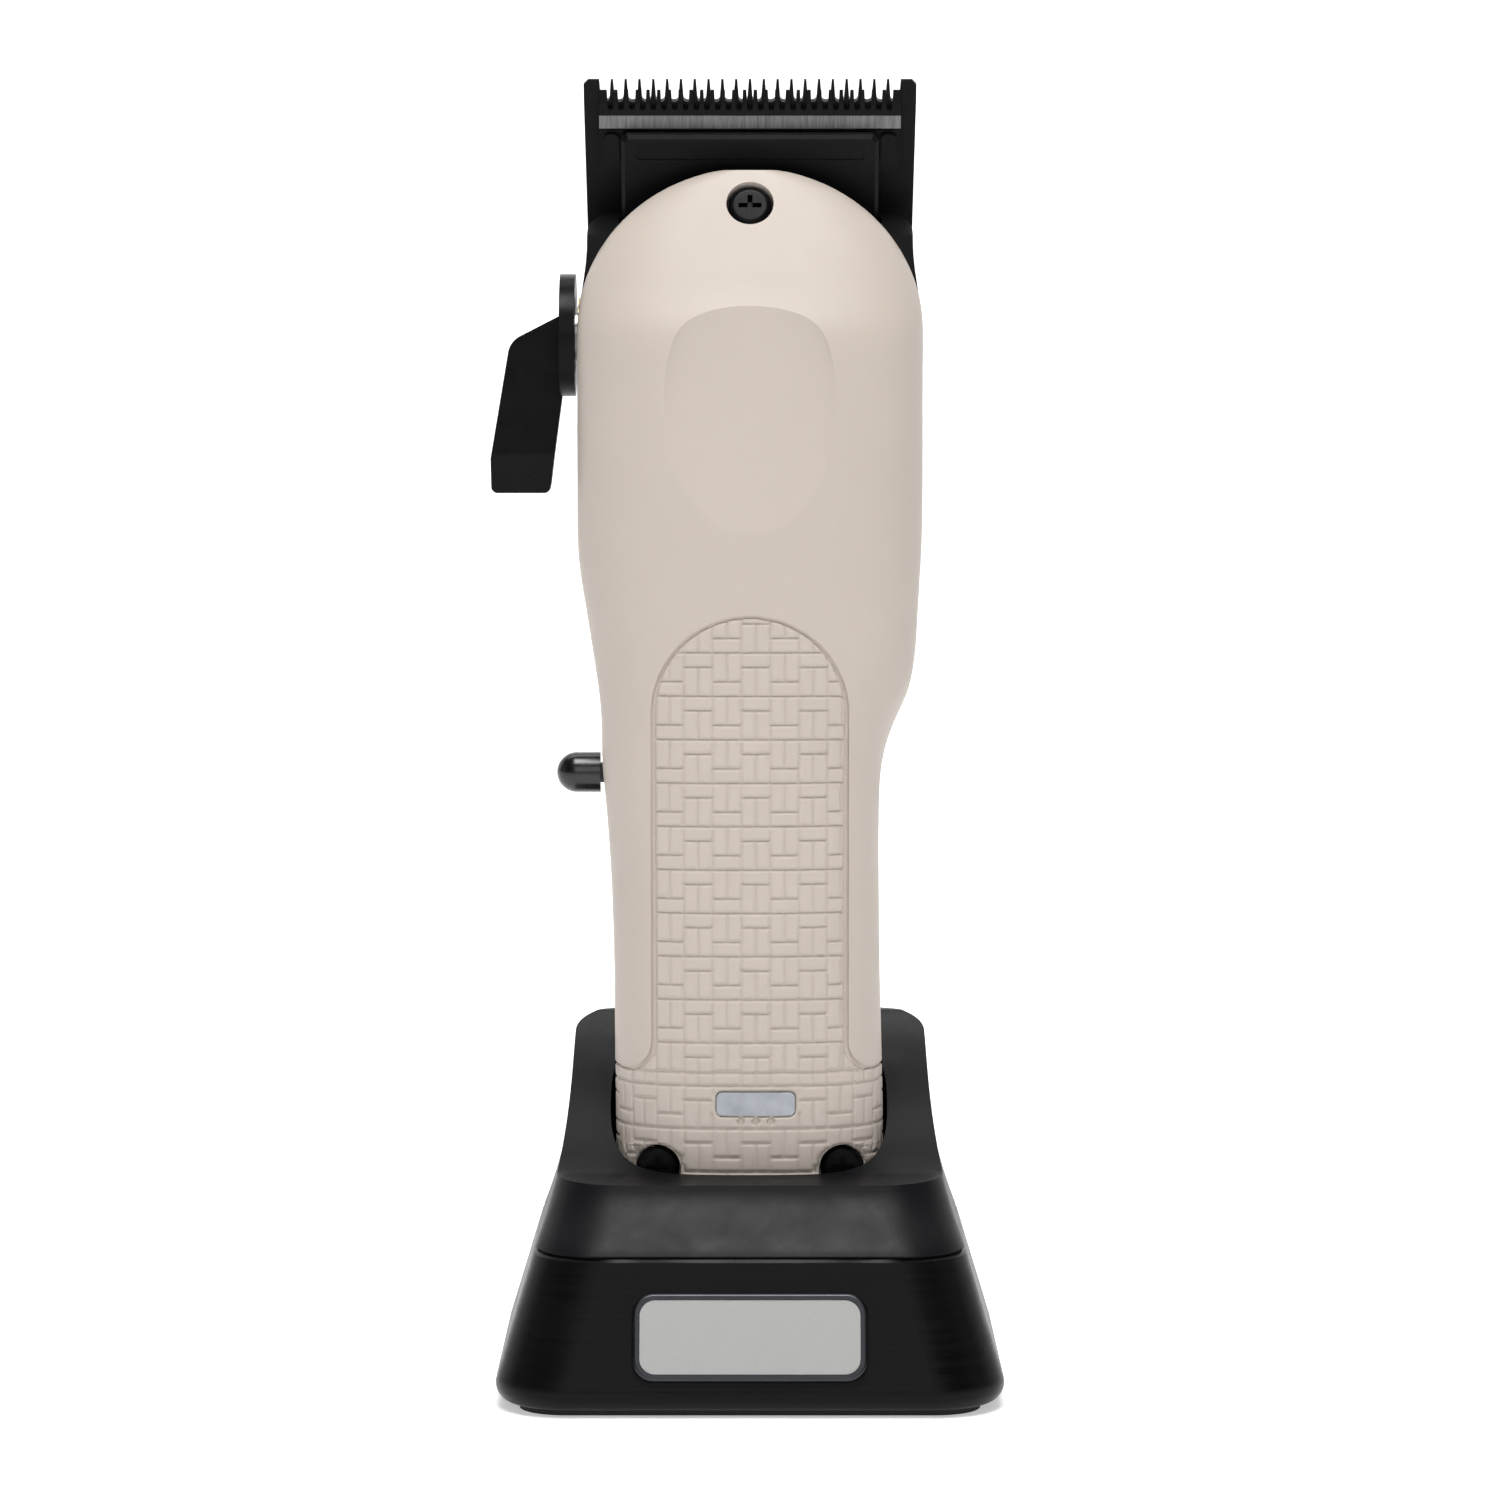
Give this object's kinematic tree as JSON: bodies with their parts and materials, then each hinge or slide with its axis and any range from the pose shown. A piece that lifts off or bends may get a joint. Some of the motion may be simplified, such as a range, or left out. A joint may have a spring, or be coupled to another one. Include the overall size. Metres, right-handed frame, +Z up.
{
  "type": "hair clipper in a charging stand",
  "caption": "Cordless hair clipper with a woven-relief grip, taper lever and wide toothed blade, standing upright in a two-tone tapered charging stand.",
  "frame": {"origin": "centre of the charging stand's bottom face, where it rests on the table", "axes": "+Z up along the clipper, +X to the right seen from the front, -Y towards the front (the cover and badge side)"},
  "size_m": [0.0716, 0.068, 0.1825],
  "materials": {
    "cover_cream": "satin",
    "housing_black": "satin",
    "stand_charcoal": "satin",
    "stand_black": "brushed",
    "blade_black": "satin",
    "guide_plastic": "satin",
    "lever_black": "gloss",
    "knob_black": "gloss",
    "screw_black": "satin",
    "bezel_grey": "satin",
    "badge_silver": "satin",
    "lens_grey": "gloss",
    "rubber_black": "matte",
    "steel": "satin",
    "brass": "satin",
    "board_green": "satin",
    "led_white": "satin",
    "cell_wrap": "gloss",
    "inner_plastic": "matte",
    "wire_red": "satin"
  },
  "bodies": {
    "stand": {"stand_upper_shell": "stand_charcoal", "stand_lower_shell": "stand_black", "stand_base_plate": "inner_plastic", "stand_pad": "rubber_black", "stand_screws": "steel", "ballast_plate": "steel", "stand_circuit_board": "board_green", "dc_jack": "housing_black", "contact_block": "inner_plastic", "pin_guides": "brass", "charge_pin_spring_left": "steel", "charge_pin_spring_right": "steel", "badge_bezel": "bezel_grey", "badge_plate": "badge_silver"},
    "charge_pin_left_body": {"charge_pin_left": "brass"},
    "charge_pin_right_body": {"charge_pin_right": "brass"},
    "clipper": {"top_cover": "cover_cream", "bottom_housing": "housing_black", "led_window": "lens_grey", "cover_screw_front": "screw_black", "cover_screws_rear": "screw_black", "fixed_blade": "blade_black", "blade_screws": "steel", "lever_bush": "brass", "switch_module": "inner_plastic", "motor_can": "steel", "motor_end_cap": "inner_plastic", "motor_bracket": "steel", "motor_screws": "steel", "motor_damper": "rubber_black", "battery_cell": "cell_wrap", "battery_tabs": "steel", "battery_cradle": "inner_plastic", "main_circuit_board": "board_green", "led_chips": "led_white", "contact_plates": "brass", "battery_wires": "wire_red", "motor_wires": "wire_red"},
    "lever": {"lever_arm": "lever_black", "lever_shaft": "steel", "lever_clip": "steel"},
    "carriage": {"blade_guide": "guide_plastic", "tension_spring": "steel"},
    "cutter": {"moving_blade": "blade_black", "cam_follower": "inner_plastic"},
    "rotor": {"motor_shaft": "steel", "eccentric_cam": "brass"},
    "switch": {"switch_knob": "knob_black", "switch_actuator": "inner_plastic"}
  },
  "joints": [
    {"name": "clipper_lift", "type": "slide", "parent": "stand", "child": "clipper", "axis": [0, 0, 1], "range_m": [0, 0.06]},
    {"name": "taper_lever", "type": "hinge", "parent": "clipper", "child": "lever", "pos_m": [-0.0245, 0.0056, 0.1467], "axis": [1, 0, 0], "range_deg": [0, 45]},
    {"name": "carriage_slide", "type": "slide", "parent": "clipper", "child": "carriage", "axis": [0, 0.3746, -0.9272], "range_m": [0, 0.0018]},
    {"name": "cutter_slide", "type": "slide", "parent": "carriage", "child": "cutter", "axis": [1, 0, 0], "range_m": [-0.0011, 0.0011]},
    {"name": "rotor_spin", "type": "hinge", "parent": "clipper", "child": "rotor", "pos_m": [0, 0.0025, 0.1409], "axis": [0, 0, 1], "continuous": true},
    {"name": "switch_slide", "type": "slide", "parent": "clipper", "child": "switch", "axis": [0, 0, 1], "range_m": [0, 0.0045]},
    {"name": "charge_pin_left_slide", "type": "slide", "parent": "stand", "child": "charge_pin_left_body", "axis": [0, 0, 1], "range_m": [-0.0008, 0], "stiffness_N_per_m": 120, "springref_m": 0.0005, "deforming": ["charge_pin_spring_left"]},
    {"name": "charge_pin_right_slide", "type": "slide", "parent": "stand", "child": "charge_pin_right_body", "axis": [0, 0, 1], "range_m": [-0.0008, 0], "stiffness_N_per_m": 120, "springref_m": 0.0005, "deforming": ["charge_pin_spring_right"]}
  ],
  "couplings": [
    {"joint": "taper_lever", "follows": "carriage_slide", "rad_per_m": 436.33}
  ]
}
